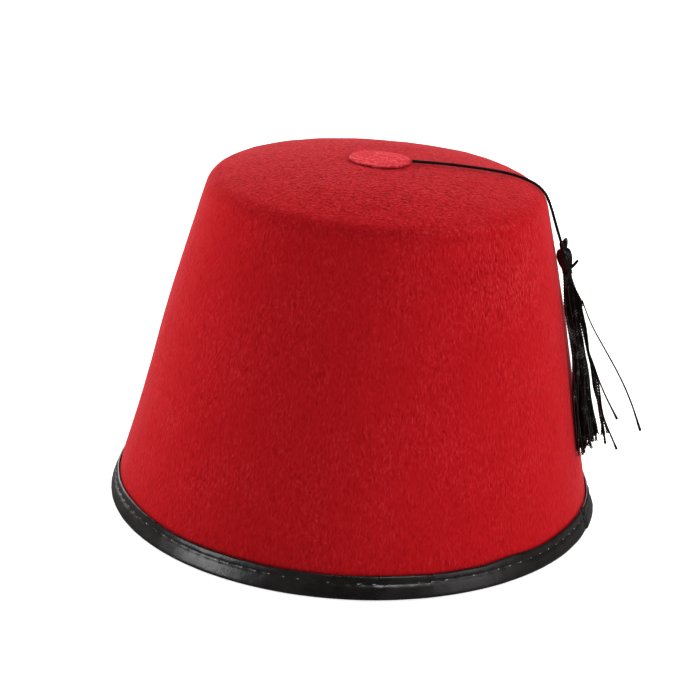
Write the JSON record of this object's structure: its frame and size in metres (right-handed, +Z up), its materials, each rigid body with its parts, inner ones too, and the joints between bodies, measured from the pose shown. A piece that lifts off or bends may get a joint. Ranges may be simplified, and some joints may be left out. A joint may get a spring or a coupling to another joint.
{
  "type": "fez hat",
  "caption": "Oval red felt fez, a tapered crown with a low domed top, a black strip folded round its edge, a felt button on top and a thin cord to a black tassel",
  "frame": {"origin": "on the floor under the middle of the crown's lower edge", "axes": "+Z up out of the crown's top, Y along the long way of the oval head opening, the tassel near +X"},
  "size_m": [0.1768, 0.1894, 0.1264],
  "materials": {
    "felt": "pressed wool felt, matt with a short nap",
    "vinyl": "glossy black coated cloth strip, folded and stitched",
    "button_felt": "cut disc of the same felt",
    "cord": "thin twisted black cord",
    "rayon": "twisted black rayon strands with a silky gloss"
  },
  "bodies": {
    "root": {"crown": "felt", "edge_binding": "vinyl", "top_button": "button_felt", "cord": "cord", "tassel": "rayon"}
  },
  "joints": []
}
